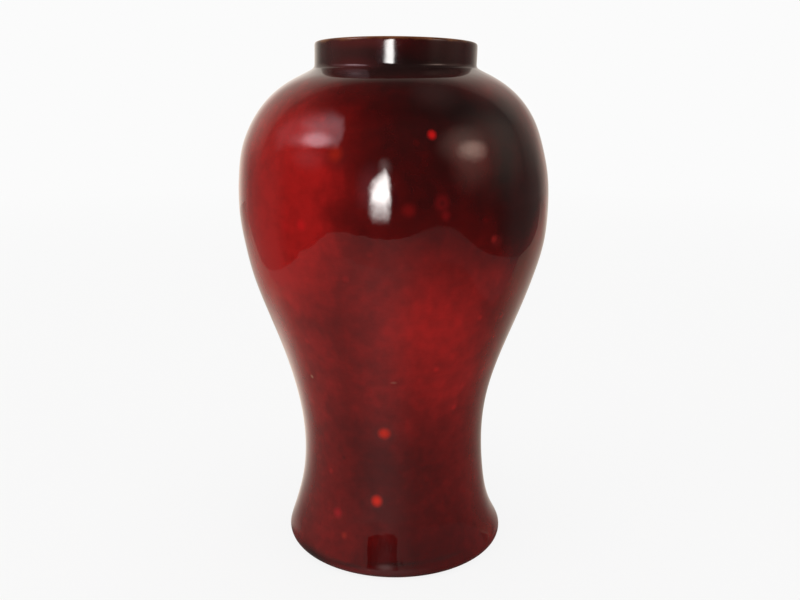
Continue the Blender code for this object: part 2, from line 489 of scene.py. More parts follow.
class Wiring:
    """Lays out the nodes of a material or world. Most methods add a node and return its output."""

    def __init__(self, name: str, world: bool = False) -> None:
        """Starts from the one shader that Blender gives a new material, or a new world."""
        self.owner = (bpy.data.worlds if world else bpy.data.materials).new(name)
        self.owner.use_nodes = True
        self.tree = self.owner.node_tree
        self.surface = next(node for node in self.tree.nodes if not node.outputs).inputs["Surface"]
        self.shader = self.surface.links[0].from_node

    @cached_property
    def place(self) -> Socket:
        """The place on the object, in metres."""
        return self.node("TexCoord").outputs["Object"]

    def feed(self, socket: Socket, value: object) -> None:
        """Links an output to an input, or sets the input's own value. A colour has three parts.

        Args:
            socket: The input.
            value: An output, a number, a vector or a colour.
        """
        if isinstance(value, Socket):
            self.tree.links.new(value, socket)
        else:
            socket.default_value = (*value, 1) if socket.type == "RGBA" else value

    def fill(self, node: bpy.types.Node, **inputs: object) -> bpy.types.Node:
        """Feeds a node's inputs by their names, written with _ for a space.

        Args:
            node: The node.
            inputs: The values under the inputs' names.

        Returns:
            The same node.
        """
        for name, value in inputs.items():
            self.feed(node.inputs[name.replace("_", " ")], value)
        return node

    def node(self, kind: str, *values: object, **settings: object) -> bpy.types.Node:
        """Adds a ShaderNode of one kind, sets its properties and feeds its first inputs.

        Args:
            kind: Its type, without the leading ShaderNode.
            values: What its first inputs take.
            settings: Its properties.

        Returns:
            The node.
        """
        node = self.tree.nodes.new("ShaderNode" + kind)
        for name, value in settings.items():
            setattr(node, name, value)
        for socket, value in zip(node.inputs, values):
            self.feed(socket, value)
        return node

    def show(self, kind: str, *values: object) -> None:
        """Puts a shader of one kind on the surface, such as a mix of others."""
        self.feed(self.surface, self.node(kind, *values).outputs[0])

    def maths(self, work: str, *values: object) -> Socket:
        """The values worked together from left to right, such as by MAXIMUM.

        Args:
            work: The Math node's operation.
            values: Outputs or numbers, or one of them alone.

        Returns:
            The outcome.
        """
        total = values[0]
        for value in values[1:] or (0.0,):
            total = self.node("Math", total, value, operation=work).outputs[0]
        return total

    def plus(self, *values: object) -> Socket:
        """The sum of the values."""
        return self.maths("ADD", *values)

    def times(self, *values: object) -> Socket:
        """The product of the values."""
        return self.maths("MULTIPLY", *values)

    def vector(self, work: str, first: object, second: object) -> Socket:
        """Two vectors worked together into a third."""
        return self.node("VectorMath", first, second, operation=work).outputs["Vector"]

    def length(self, vector: object) -> Socket:
        """The length of a vector."""
        return self.node("VectorMath", vector, operation="LENGTH").outputs["Value"]

    def axes(self, vector: object) -> tuple[Socket, ...]:
        """The three parts of a vector or a colour."""
        return tuple(self.node("SeparateXYZ", vector).outputs)

    def ranged(self, value: object, start: Point, end: Point = (0.0, 1.0), ease: Ease = Ease.SOFT) -> Socket:
        """A value carried from one range to another and held at its ends.

        Args:
            value: The value.
            start: The range that it comes from.
            end: The range that it goes to.
            ease: How it passes between the ends.

        Returns:
            The new value.
        """
        return self.node("MapRange", value, *start, *end, interpolation_type=ease.value).outputs["Result"]

    def framed(self, place: object, reach: Colour, centre: Colour = (0, 0, 0), turn: float = 0.0) -> Socket:
        """A place seen from a turned centre, in units of its reach along each axis.

        Args:
            place: The place in metres.
            reach: What counts as one along each turned axis, in metres.
            centre: The new origin in metres.
            turn: The turn round Z, in radians.

        Returns:
            The new place.
        """
        return self.node("Mapping", place, centre, (0, 0, turn), reach, vector_type="TEXTURE").outputs[0]

    def noise(self, place: object, scale: float, detail: float = 2.0, rough: float = 0.5,
              parts: str = "Fac") -> Socket:
        """Cloudy noise of about 0 to 1 with its middle at 0.5.

        Args:
            place: Where it is read.
            scale: Clouds per metre.
            detail: How many finer layers lie on it.
            rough: How strong those layers are.
            parts: Fac for one value, or Color for three.

        Returns:
            The noise.
        """
        node = self.fill(self.node("TexNoise"), Vector=place, Scale=scale, Detail=detail, Roughness=rough)
        return node.outputs[parts]

    def cells(self, scale: float) -> tuple[Socket, Socket]:
        """Scattered points, so many to the metre: the distance to the nearest one, and its own colour."""
        node = self.fill(self.node("TexVoronoi"), Vector=self.place, Scale=scale)
        return node.outputs["Distance"], node.outputs["Color"]

    def blend(self, factor: object, first: object, second: object) -> Socket:
        """A colour between two colours.

        Args:
            factor: The second colour's share.
            first: The first colour.
            second: The second colour.

        Returns:
            The blended colour.
        """
        node = self.node("Mix", factor, data_type="RGBA")
        self.feed(node.inputs[6], first)
        self.feed(node.inputs[7], second)
        return node.outputs[2]

    def ramp(self, factor: object, stops: Tones) -> Socket:
        """A colour read off a row of stops.

        Args:
            factor: Where it is read, from 0 to 1.
            stops: The colours and their positions.

        Returns:
            The colour.
        """
        node = self.node("ValToRGB", factor)
        elements = node.color_ramp.elements
        while len(elements) < len(stops):
            elements.new(1.0)
        for element, (position, colour) in zip(elements, stops):
            element.position = position
            element.color = (*colour, 1)
        return node.outputs["Color"]

    def seen(self) -> Socket:
        """1 for a ray from the eye, from gloss or through glass, and 0 where light only falls."""
        path = self.node("LightPath").outputs
        rays = ("Camera", "Glossy", "Transmission")
        return self.maths("MAXIMUM", *(path[f"Is {ray} Ray"] for ray in rays))

    def finish(self, colour: object, rough: object, height: object, depth: float) -> bpy.types.Material:
        """Gives the material its colour, roughness and relief.

        Args:
            colour: The base colour.
            rough: The roughness.
            height: The relief, as a height of 0 to 1.
            depth: How deep that height is, in metres.

        Returns:
            The material.
        """
        relief = self.fill(self.node("Bump"), Strength=1.0, Distance=depth, Height=height).outputs[0]
        self.fill(self.shader, Base_Color=colour, Roughness=rough, Normal=relief)
        return self.owner


def emitter(name: str) -> Wiring:
    """Starts a material whose only shader is an Emission, which the caller feeds.

    Args:
        name: The material's name.

    Returns:
        Its wiring, with the Emission as its shader.
    """
    w = Wiring(name)
    w.tree.nodes.remove(w.shader)
    w.shader = w.node("Emission")
    w.feed(w.surface, w.shader.outputs[0])
    return w


@dataclass(frozen=True)
class Patch:
    """A cloud in the glaze, where the copper struck redder or darker.

    angle is degrees to the right of the front and level the height of its middle. width and rise are its
    half sizes along and up the wall, soft is the share of them over which it fades, and strength is what
    it adds to the strike, in which 0 is smoke-dark and 1 the brightest red.
    """

    angle: float
    level: float
    width: float
    rise: float
    soft: float
    strength: float


@dataclass(frozen=True)
class Spot:
    """A small mark in the glaze: its angle, level and half sizes, its colour and how much it covers."""

    angle: float
    level: float
    width: float
    rise: float
    colour: Colour
    cover: float = 1.0


@dataclass(frozen=True)
class Mottle:
    """A random cloudiness in the glaze that makes the strike stronger and weaker.

    scale is clouds to the metre, detail and rough its finer layers, and spread how far from its middle
    the noise counts in full. strength is what it then adds or takes. A squash under 1 makes level streaks.
    """

    scale: float
    detail: float
    rough: float
    spread: float
    strength: float
    squash: float = 1.0

    def field(self, w: Wiring) -> Socket:
        """What it adds to the strike at each place."""
        place = w.framed(w.place, (1.0, 1.0, self.squash)) if self.squash < 1 else w.place
        noise = w.noise(place, self.scale, self.detail, self.rough)
        return w.ranged(noise, (0.5 - self.spread, 0.5 + self.spread), (-self.strength, self.strength),
                        Ease.STRAIGHT)


@dataclass(frozen=True)
class CopperRed:
    """The copper-red glaze: smoke-dark to bright red in soft clouds, mottled, specked and very glossy.

    The first 26 patches lie on the side that the photo shows, from the shoulders down to the hem, and the
    last four carry the red on round the back. The spots are the collar and its root, with a wide dark spot
    of painted reflection of the collar just under the root; the red and dark specks of the shoulder and
    belly, with a thin dark notch of painted reflection beside the window's highlight; and last a dark line
    of painted shadow along the hem, with a paler strip and spot of painted reflection of the table under
    it. collar_start and thin_lip are how far below the collar's root and the lip their change of tone
    starts and is full, in millimetres; below the root the collar's darker tone is painted reflection of
    the collar. patch_drift is how far the patches' borders are carried about, in metres.
    """

    strike: float = 0.70
    patches: tuple[Patch, ...] = (
        Patch(-49, 218, 60, 74, 0.42, 0.26),
        Patch(-58, 135, 46, 85, 0.90, 0.18),
        Patch(50, 229, 31, 54, 0.60, -0.57),
        Patch(16, 242, 50, 54, 0.60, -0.41),
        Patch(28, 236, 20, 22, 0.90, 0.08),
        Patch(36, 267, 48, 22, 0.90, -0.34),
        Patch(-6, 272, 48, 22, 0.90, -0.20),
        Patch(0, 282, 56, 14, 0.80, -0.20),
        Patch(70, 222, 26, 52, 0.90, 0.06),
        Patch(14, 254, 26, 14, 0.90, -0.10),
        Patch(52, 184, 20, 18, 0.90, -0.10),
        Patch(32, 212, 20, 20, 0.90, -0.15),
        Patch(36, 197, 26, 22, 0.90, -0.20),
        Patch(-20, 216, 16, 20, 0.90, -0.10),
        Patch(-46, 265, 26, 14, 0.90, -0.10),
        Patch(-68, 215, 32, 75, 0.90, -0.08),
        Patch(-4, 207, 36, 20, 0.90, -0.18),
        Patch(12, 150, 46, 52, 0.90, 0.20),
        Patch(34, 118, 40, 50, 0.90, 0.12),
        Patch(4, 40, 52, 82, 0.90, -0.22),
        Patch(-18, 78, 30, 34, 0.90, -0.06),
        Patch(-18, 22, 34, 24, 0.90, 0.05),
        Patch(-30, 95, 16, 16, 0.90, -0.10),
        Patch(10, 92, 20, 18, 0.90, 0.08),
        Patch(48, 24, 36, 28, 0.90, -0.11),
        Patch(16, 6, 66, 24, 0.90, -0.18),
        Patch(180, 225, 90, 85, 0.80, 0.26),
        Patch(115, 140, 60, 70, 0.90, 0.16),
        Patch(-125, 250, 50, 45, 0.80, -0.35),
        Patch(150, 60, 50, 60, 0.90, -0.12),
    )
    tones: Tones = (
        (0.00, (0.0105, 0.0032, 0.0030)),
        (0.25, (0.0280, 0.0024, 0.0024)),
        (0.50, (0.0630, 0.0022, 0.0022)),
        (0.72, (0.1280, 0.0035, 0.0032)),
        (1.00, (0.3100, 0.0070, 0.0065)),
    )
    spots: tuple[Spot, ...] = (
        Spot(-34, 292.0, 30.0, 14.0, (0.052, 0.017, 0.016), 0.70),
        Spot(-24, 297.5, 34.0, 5.5, (0.085, 0.014, 0.013), 0.70),
        Spot(36, 292.0, 26.0, 14.0, (0.020, 0.009, 0.008), 0.60),
        # Painted reflection: a wide dark spot under the collar's root, where the shoulder mirrors the dark
        # collar.
        Spot(0, 281.0, 64.0, 8.0, (0.020, 0.0095, 0.0090), 0.75),
        Spot(-30, 285.5, 24.0, 6.0, (0.085, 0.013, 0.014), 0.60),
        Spot(17, 270.0, 17.0, 13.0, (0.034, 0.0135, 0.0125), 0.60),
        Spot(12.8, 250.6, 3.2, 3.3, (0.44, 0.006, 0.006)),
        Spot(-5.2, 86.0, 9.0, 9.0, (0.040, 0.011, 0.010), 0.5),
        Spot(-5.2, 86.2, 5.0, 5.0, (0.43, 0.010, 0.002)),
        Spot(-9.8, 44.0, 8.0, 8.0, (0.040, 0.011, 0.010), 0.4),
        Spot(-9.8, 44.2, 4.6, 4.9, (0.50, 0.012, 0.003)),
        Spot(-18.5, 240.0, 9.0, 9.0, (0.070, 0.006, 0.006), 0.5),
        Spot(-19.0, 241.5, 5.6, 6.0, (0.32, 0.012, 0.004), 0.60),
        Spot(-38.0, 205.0, 4.6, 5.0, (0.44, 0.006, 0.008), 0.35),
        Spot(-31.0, 206.0, 4.0, 4.4, (0.46, 0.006, 0.008), 0.70),
        Spot(15.2, 218.2, 5.4, 6.0, (0.15, 0.005, 0.006), 0.60),
        Spot(15.2, 218.2, 2.4, 2.6, (0.05, 0.003, 0.003), 0.80),
        Spot(16.5, 212.0, 3.6, 3.8, (0.18, 0.005, 0.006), 0.50),
        Spot(4.6, 214.8, 5.4, 5.0, (0.16, 0.004, 0.004), 0.60),
        # Painted reflection: a thin dark notch beside the window's highlight on the belly.
        Spot(0.6, 220.5, 1.7, 7.5, (0.030, 0.0015, 0.0035), 0.50),
        Spot(36.0, 197.0, 6.0, 5.0, (0.12, 0.007, 0.007), 0.42),
        Spot(34.6, 198.6, 3.0, 3.0, (0.24, 0.012, 0.010), 0.55),
        Spot(-34.0, 33.0, 4.4, 4.6, (0.36, 0.006, 0.012), 0.50),
        Spot(-28.0, 21.5, 2.8, 3.0, (0.32, 0.016, 0.008), 0.45),
        Spot(-45.0, 116.0, 1.6, 1.6, (0.40, 0.20, 0.12), 0.5),
        Spot(0.0, 119.0, 2.6, 1.2, (0.28, 0.10, 0.07), 0.3),
        # Painted shadow: a dark line along the hem, where the foot's rounding mirrors the vase's shadow on
        # the table.
        Spot(-46, 4.2, 30.0, 7.0, (0.018, 0.0075, 0.0070), 0.90),
        Spot(-24, 6.6, 18.0, 2.4, (0.022, 0.0065, 0.0060), 0.60),
        Spot(2, 9.6, 26.0, 2.2, (0.020, 0.0060, 0.0055), 0.60),
        Spot(28, 9.8, 16.0, 2.0, (0.024, 0.0070, 0.0065), 0.40),
        # Painted reflection of the pale table: a paler strip under that dark line, and a pale spot in it.
        Spot(-2, 5.2, 30.0, 3.0, (0.090, 0.028, 0.030), 0.35),
        Spot(-20, 4.2, 22.0, 2.6, (0.110, 0.006, 0.007), 0.55),
        Spot(-4, 8.0, 7.5, 2.4, (0.120, 0.062, 0.060), 0.50),
    )
    # The collar's glaze is darker than the body's; collar_start carries that darker tone below the root onto
    # the shoulder, as painted reflection of the dark collar.
    collar_strike_and_root_reflection: float = -0.46
    collar_haze: float = 0.05
    collar_start: Point = (9.0, 2.0)
    thin_lip: Point = (2.6, 0.2)
    thin_lip_waver: Point = (-0.0012, 0.0009)
    thin_lip_colour: Colour = (0.17, 0.060, 0.021)
    patch_depth: float = 80.0
    patch_drift: float = 0.022
    spot_depth: float = 10.0
    spot_core: float = 0.10
    mottles: tuple[Mottle, ...] = (
        Mottle(38, 3, 0.55, 0.25, 0.065),
        Mottle(95, 3, 0.60, 0.25, 0.020, 0.3),
        Mottle(420, 2, 0.60, 0.20, 0.012),
        Mottle(150, 2, 0.50, 0.25, 0.050),
    )
    speck_scale: float = 85.0
    speck_rarity: Point = (0.88, 0.92)
    speck_sizes: tuple[tuple[Point, float], ...] = (((0.02, 0.24), 0.16), ((0.02, 0.18), -0.16))
    gloss: Point = (0.035, 0.06)
    ripple: float = 0.00006

    def material(self, line: SkinLine) -> bpy.types.Material:
        """Builds the glaze's nodes: the strike field, its colour, the marks on it, and the gloss.

        Args:
            line: The outline that the marks lie on.

        Returns:
            The material.
        """
        w = Wiring(Slot.RED.value)
        skin = line.outside()
        skin = skin[skin[:, 1] < line.collar_root]
        drift = w.vector("SUBTRACT", w.noise(w.place, 24, 3, 0.55, "Color"), (0.5, 0.5, 0.5))
        warped = w.vector("ADD", w.place, w.vector("MULTIPLY", drift, (self.patch_drift,) * 3))
        height = w.axes(w.place)[2]
        # The collar mask: the collar's own darker glaze, and below the root painted reflection of the collar.
        collar = w.ranged(height, tuple((line.collar_root - below) * MM for below in self.collar_start))
        added = [self.strike]
        for patch in self.patches:
            near = self.nearness(w, warped, patch, skin, self.patch_depth)
            added.append(w.ranged(near, (1 - patch.soft, 1.0), (patch.strength, 0.0)))
        strike = w.plus(*added, w.times(collar, self.collar_strike_and_root_reflection))
        colour = w.ramp(self.mottled(w, strike), self.tones)
        for spot in self.spots:
            near = self.nearness(w, w.place, spot, skin, max(self.spot_depth, spot.width))
            cover = w.ranged(near, (self.spot_core, 1.0), (spot.cover, 0.0))
            colour = w.blend(cover, colour, spot.colour)
        waver = w.ranged(w.noise(w.place, 90, 3), (0.3, 0.7), self.thin_lip_waver, Ease.STRAIGHT)
        crown = tuple((line.height - below) * MM for below in self.thin_lip)
        colour = w.blend(w.ranged(w.plus(height, waver), crown), colour, self.thin_lip_colour)
        rough = w.ranged(w.noise(w.place, 60), (0.3, 0.7), self.gloss)
        rough = w.plus(rough, w.times(collar, self.collar_haze))
        return w.finish(colour, rough, w.noise(w.place, 110), self.ripple)

    def nearness(self, w: Wiring, place: object, mark: Patch | Spot, skin: Array, depth: float) -> Socket:
        """How far a place lies from a mark's middle, as a share of the mark's half sizes.

        Args:
            w: The material's wiring.
            place: The place.
            mark: The patch or spot.
            skin: The outside's rows, from the top down.
            depth: The mark's half size through the wall, in millimetres.

        Returns:
            The distance, in which 1 is the mark's edge.
        """
        radius = float(np.interp(mark.level, skin[::-1, 1], skin[::-1, 0]))
        turn = math.radians(mark.angle)
        centre = (radius * math.sin(turn) * MM, -radius * math.cos(turn) * MM, mark.level * MM)
        return w.length(w.framed(place, (mark.width * MM, depth * MM, mark.rise * MM), centre, turn))

    def mottled(self, w: Wiring, strike: object) -> Socket:
        """The strike with clouds, blots, level streaks and grain, and with scattered red and dark specks.

        Args:
            w: The material's wiring.
            strike: The strike before them.

        Returns:
            The strike with them.
        """
        distance, lots = w.cells(self.speck_scale)
        added = [strike, *(mottle.field(w) for mottle in self.mottles)]
        for lot, (size, strength) in zip(w.axes(lots), self.speck_sizes):
            added.append(w.times(w.ranged(distance, size, (strength, 0.0)), w.ranged(lot, self.speck_rarity)))
        return w.plus(*added)


@dataclass(frozen=True)
class Flecks:
    """Small dark specks in a finish, thick in some places and absent in others.

    There are scale of them to the metre. size is the shares of their spacing at which one is full and at
    which it ends, and cover is how much it hides. They lie where a noise of places clouds to the metre
    passes from one end of share to the other.
    """

    colour: Colour
    scale: float = 160.0
    size: Point = (0.05, 0.14)
    cover: float = 0.55
    places: float = 70.0
    share: Point = (0.58, 0.66)

    def over(self, w: Wiring, ground: Socket) -> Socket:
        """A ground with the flecks on it.

        Args:
            w: The material's wiring.
            ground: The colour under the flecks.

        Returns:
            The colour with them.
        """
        speck = w.ranged(w.cells(self.scale)[0], self.size, (self.cover, 0.0))
        there = w.ranged(w.noise(w.place, self.places, 1), self.share)
        return w.blend(w.times(speck, there), ground, self.colour)


@dataclass(frozen=True)
class PaleGlaze:
    """A pale glaze: its colour, the colour that it drifts to, its flecks, and how rough it is."""

    slot: Slot
    colour: Colour
    drift: Colour
    flecks: Flecks
    rough: float
    ripple: float = 0.00008

    def material(self) -> bpy.types.Material:
        """Soft clouds between the two colours, fine dark flecks, and a faint ripple."""
        w = Wiring(self.slot.value)
        clouds = w.ranged(w.noise(w.place, 30, 3), (0.35, 0.68))
        colour = self.flecks.over(w, w.blend(clouds, self.colour, self.drift))
        rough = w.ranged(w.noise(w.place, 80), (0.3, 0.7), (self.rough * 0.8, self.rough * 1.25))
        return w.finish(colour, rough, w.noise(w.place, 140), self.ripple)


@dataclass(frozen=True)
class BareClay:
    """Unglazed buff stoneware, toasted where the glaze ends."""

    colour: Colour = (0.56, 0.43, 0.30)
    dark: Colour = (0.40, 0.28, 0.18)
    toast: Colour = (0.36, 0.17, 0.08)
    toast_reach: float = 3.0
    iron: Flecks = Flecks((0.10, 0.06, 0.04), 520, (0.10, 0.24), 0.8, 260, (0.56, 0.64))
    rough: Point = (0.72, 0.86)
    grain: float = 0.00022

    def material(self, line: SkinLine) -> bpy.types.Material:
        """Sandy grain, iron specks and a toasted edge just under the red coat.

        Args:
            line: The outline, for the foot ring's place.

        Returns:
            The material.
        """
        w = Wiring(Slot.CLAY.value)
        clouds = w.ranged(w.noise(w.place, 60, 4, 0.65), (0.35, 0.7))
        radius = w.length(w.framed(w.place, LEVEL_ONLY))
        outer = line.ring_radii()[0]
        edge = w.ranged(radius, (outer * MM, (outer + self.toast_reach) * MM), (0.0, 0.85))
        colour = w.blend(edge, w.blend(clouds, self.colour, self.dark), self.toast)
        rough = w.ranged(clouds, (0.0, 1.0), self.rough)
        return w.finish(self.iron.over(w, colour), rough, w.noise(w.place, 900, 4, 0.7), self.grain)


@dataclass
class Layer:
    """One turned layer of the vase: the CAD node that it stands for, and the slot of its finish."""

    node: str
    slot: Slot
    line: SkinLine
    hand: HandWork

    def section(self) -> Array:
        """The layer's closed section, as rows of radius and height with the solid on their right."""
        raise NotImplementedError

    def build(self, material: bpy.types.Material) -> bpy.types.Object:
        """Turns the section, dresses it and puts it on the vase.

        Args:
            material: The layer's finish.

        Returns:
            The piece.
        """
        mesh = turned_mesh(self.node + "_turned", self.section(), self.line, self.hand)
        mesh.set_sharp_from_angle(angle=math.radians(SHARP_ANGLE))
        piece = placed(mesh, material)
        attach(piece, BODY)
        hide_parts(self.node)
        LOG.info("%s: %d faces", piece.name, len(mesh.polygons))
        return piece


@dataclass
class ClayBody(Layer):
    """The fired clay: up the inside, over the lip, down the outside, across the ring, into the recess."""

    def section(self) -> Array:
        """The clay's section, with a rounded ring that the vase stands on."""
        line = self.line
        inner = sink(line.inside(), line.liner_thickness + line.clearance)
        ring_outer, ring_inner = line.ring_radii()
        bevel = line.ring_inner_bevel
        out, up = line.ring_edge_ease
        ring = [(ring_outer + out, up), (ring_outer, 0), (ring_inner + bevel, 0), (ring_inner, bevel)]
        return np.vstack((inner[:, :2], line.clay_outside()[:, :2], ring, line.recess()[::-1, :2]))


@dataclass
class RedCoat(Layer):
    """The copper-red coat: its skin, the bead above the foot ring, and back up the side on the clay.

    The far side keeps every row of the lip, and below that one in far_step, because nothing shows it.
    """

    lip_rows: int = 40
    far_step: int = 3

    def section(self) -> Array:
        """The coat's section, from its end in the bore and back to it."""
        skin = self.line.outside()
        far = sink(skin, self.line.red_coat_depth(skin))
        below = range(self.lip_rows, len(far), self.far_step)
        kept = np.unique((*range(self.lip_rows), *below, len(far) - 1))
        return np.vstack((skin[:, :2], bead(skin[-1], far[-1])[:, :2], far[kept][::-1, :2]))


@dataclass
class LinerCoat(Layer):
    """The pale coat inside: its skin up to the red coat's end in the bore, and back on the clay."""

    def section(self) -> Array:
        """The liner's section, from the middle of the floor and back to it."""
        skin = self.line.inside()
        return np.vstack((skin[:, :2], sink(skin, self.line.liner_thickness)[::-1, :2]))


@dataclass
class RecessCoat(Layer):
    """The pale coat in the foot's recess: out along the clay, round its bead, and back to the middle."""

    def section(self) -> Array:
        """The coat's section, from the middle of the recess and back to it."""
        line = self.line
        clay_side = sink(line.recess(), -line.clearance)
        skin = sink(line.recess(), -line.clearance - line.base_coat_thickness)
        return np.vstack((clay_side[:, :2], bead(clay_side[-1], skin[-1])[:, :2], skin[::-1, :2]))


@dataclass
class Vase:
    """The whole vase: four nested layers that share one outline and one wobble."""

    line: SkinLine = SkinLine()
    hand: HandWork = HandWork()
    liner: PaleGlaze = PaleGlaze(
        Slot.LINER, (0.66, 0.61, 0.48), (0.58, 0.53, 0.40), Flecks((0.20, 0.13, 0.07)), 0.10)
    base: PaleGlaze = PaleGlaze(
        Slot.BASE, (0.60, 0.53, 0.39), (0.50, 0.43, 0.30), Flecks((0.12, 0.08, 0.05)), 0.16)

    def build(self) -> list[bpy.types.Object]:
        """Builds every layer in its finish and returns the pieces."""
        work = (
            (ClayBody, "vase_body", Slot.CLAY, BareClay().material(self.line)),
            (RedCoat, "outer_glaze", Slot.RED, CopperRed().material(self.line)),
            (LinerCoat, "liner_glaze", Slot.LINER, self.liner.material()),
            (RecessCoat, "base_glaze", Slot.BASE, self.base.material()),
        )
        return [layer(node, slot, self.line, self.hand).build(finish) for layer, node, slot, finish in work]


def face_belly(thing: bpy.types.Object, azimuth: float, elevation: float, distance: float) -> None:
    """Stands a thing off from the belly's middle and turns its -Z towards it, with its X level.

    The way there is (cos e sin a, -cos e cos a, sin e) for the azimuth a and the elevation e.

    Args:
        thing: The lamp or flat.
        azimuth: Degrees to the right of the camera's side, seen from the camera.
        elevation: Degrees above level.
        distance: Metres from the belly's middle.
    """
    a, e = math.radians(azimuth), math.radians(elevation)
    way = np.array((math.cos(e) * math.sin(a), -math.cos(e) * math.cos(a), math.sin(e)))
    thing.location = distance * way + (0, 0, BELLY_MIDDLE)
    thing.rotation_euler = (math.pi / 2 - e, 0, a)


def flat(name: str, points: list, faces: list, *materials: bpy.types.Material) -> bpy.types.Object:
    """An object of flat faces.

    Args:
        name: Its name and its mesh's.
        points: Its corners in metres.
        faces: The corners' numbers, face by face.
        materials: Its materials.

    Returns:
        The object.
    """
    mesh = bpy.data.meshes.new(name)
    mesh.from_pydata(points, [], faces)
    return placed(mesh, *materials)


def only_in_glaze(thing: bpy.types.Object) -> None:
    """Puts on the stage what shows in reflections and lights and shades nothing."""
    for ray in ("camera", "diffuse", "shadow", "transmission", "volume_scatter"):
        setattr(thing, "visible_" + ray, False)


@dataclass(frozen=True)
class Light:
    """A soft lamp: its direction from the vase, distance and size in metres, and level.

    level is the brightness that it alone gives a white face turned to it, in which 1 is white.
    """

    name: str
    azimuth: float
    elevation: float
    distance: float
    width: float
    rise: float
    level: float
    tint: Colour = (1.0, 1.0, 1.0)

    def build(self) -> None:
        """Hangs the lamp so that it faces the belly. Its power is level x pi^2 x distance^2."""
        data = bpy.data.lights.new(self.name, "AREA")
        data.shape = "RECTANGLE"
        data.size = self.width
        data.size_y = self.rise
        data.energy = self.level * math.pi ** 2 * self.distance ** 2
        data.color = self.tint
        lamp = placed(data)
        face_belly(lamp, self.azimuth, self.elevation, self.distance)
        lamp.visible_glossy = False
        lamp.visible_camera = False


@dataclass(frozen=True)
class Glow:
    """A round patch of light on a panel: its middle and half sizes in the panel's units, and level.

    fade is the share of its half sizes over which it dies away.
    """

    across: float
    up: float
    width: float
    rise: float
    fade: float
    level: float

    def light(self, w: Wiring, level: object, upright: object) -> Socket:
        """Its light at a place of the panel: it dies away with the distance from its middle.

        Args:
            w: The panel's wiring.
            level: The place along the panel's level unit.
            upright: The place along its upright unit.

        Returns:
            The light.
        """
        across = w.maths("DIVIDE", w.maths("SUBTRACT", level, self.across), self.width)
        up = w.maths("DIVIDE", w.maths("SUBTRACT", upright, self.up), self.rise)
        away = w.length(w.node("CombineXYZ", across, up).outputs[0])
        return w.ranged(away, (1 - self.fade, 1.0), (self.level, 0.0))


@dataclass(frozen=True)
class Pane:
    """A straight-sided patch of light: its corners, leftwards round, and level.

    A corner's third number is how far in the light fades from the side that starts there.
    """

    corners: tuple[Colour, ...]
    level: float

    def light(self, w: Wiring, level: object, upright: object) -> Socket:
        """Its light at a place of the panel: it dies away towards the nearest side.

        Args:
            w: The panel's wiring.
            level: The place along the panel's level unit.
            upright: The place along its upright unit.

        Returns:
            The light.
        """
        shares = [1.0]
        for (x0, y0, fade), (x1, y1, _) in zip(self.corners, self.corners[1:] + self.corners[:1]):
            scale = fade * math.hypot(x1 - x0, y1 - y0)
            inward = ((y0 - y1) / scale, (x1 - x0) / scale)
            side = -x0 * inward[0] - y0 * inward[1]
            shares.append(w.plus(w.times(level, inward[0]), w.times(upright, inward[1]), side))
        return w.ranged(w.maths("MINIMUM", *shares), (0.0, 1.0), (0.0, self.level))


@dataclass(frozen=True)
class Panel:
    """A flat that only the glaze mirrors, such as a window or a soft box, with light patches on it.

    The round shoulder mirrors a square flat as a skewed one. So corners and glows are given in units that
    look level and upright in the glaze: origin, level_unit and upright_unit are metres across and up the
    flat.
    """

    name: str
    azimuth: float
    elevation: float
    distance: float
    origin: Point
    level_unit: Point
    upright_unit: Point
    corners: tuple[Point, ...]
    glows: tuple[Glow | Pane, ...]
    tint: Colour

    def build(self) -> None:
        """Makes the flat face the belly and lights it with the sum of its glows."""
        units = np.array((self.level_unit, self.upright_unit))
        corners = np.array(self.corners) @ units + self.origin
        panel = flat(self.name, [(x, y, 0.0) for x, y in corners], [tuple(range(len(corners)))],
                     self.material(np.linalg.inv(units)))
        face_belly(panel, self.azimuth, self.elevation, self.distance)
        only_in_glaze(panel)

    def material(self, to_units: Array) -> bpy.types.Material:
        """The light of every patch, all added to what lies behind the flat.

        Args:
            to_units: The 2 x 2 change from metres to the flat's units, for rows.

        Returns:
            The material.
        """
        w = emitter(self.name)
        across, up, _ = w.axes(w.vector("SUBTRACT", w.place, (*self.origin, 0.0)))
        units = [w.plus(w.times(across, float(x)), w.times(up, float(y))) for x, y in to_units.T]
        lights = (glow.light(w, *units) for glow in self.glows)
        w.fill(w.shader, Color=self.tint, Strength=w.plus(0.0, *lights))
        w.show("AddShader", w.shader.outputs[0], w.node("BsdfTransparent").outputs[0])
        return w.owner


@dataclass(frozen=True)
class Backdrop:
    """The pale floor and world: white to the eye, and of a plain level where their light falls."""

    white: float = 0.965
    ambience: float = 0.50
    radius: float = 6.0
    sides: int = 96
    grey: Colour = (0.9, 0.9, 0.9)
    fade: Point = (0.3, 2.6)
    least_white: float = 0.90

    def build(self) -> None:
        """Lights the world, and lays a floor that keeps the vase's soft shadow and fades at its edge."""
        world = Wiring("pale_backdrop", world=True)
        level = world.ranged(world.seen(), (0.0, 1.0), (self.ambience, self.white), Ease.STRAIGHT)
        world.fill(world.shader, Color=(1, 1, 1), Strength=level)
        bpy.context.scene.world = world.owner
        w = Wiring("pale_floor")
        w.fill(w.shader, Base_Color=self.grey, Roughness=0.9, Specular_IOR_Level=0.1)
        glow = w.fill(w.node("Emission"), Strength=self.white)
        share = w.times(w.seen(), w.ranged(w.length(w.place), self.fade, (self.least_white, 1.0)))
        w.show("MixShader", share, w.shader.outputs[0], glow.outputs[0])
        turns = np.linspace(0, 2 * math.pi, self.sides, endpoint=False)
        points = [(self.radius * math.cos(turn), self.radius * math.sin(turn), 0.0) for turn in turns]
        flat("floor", points, [tuple(range(self.sides))], w.owner)


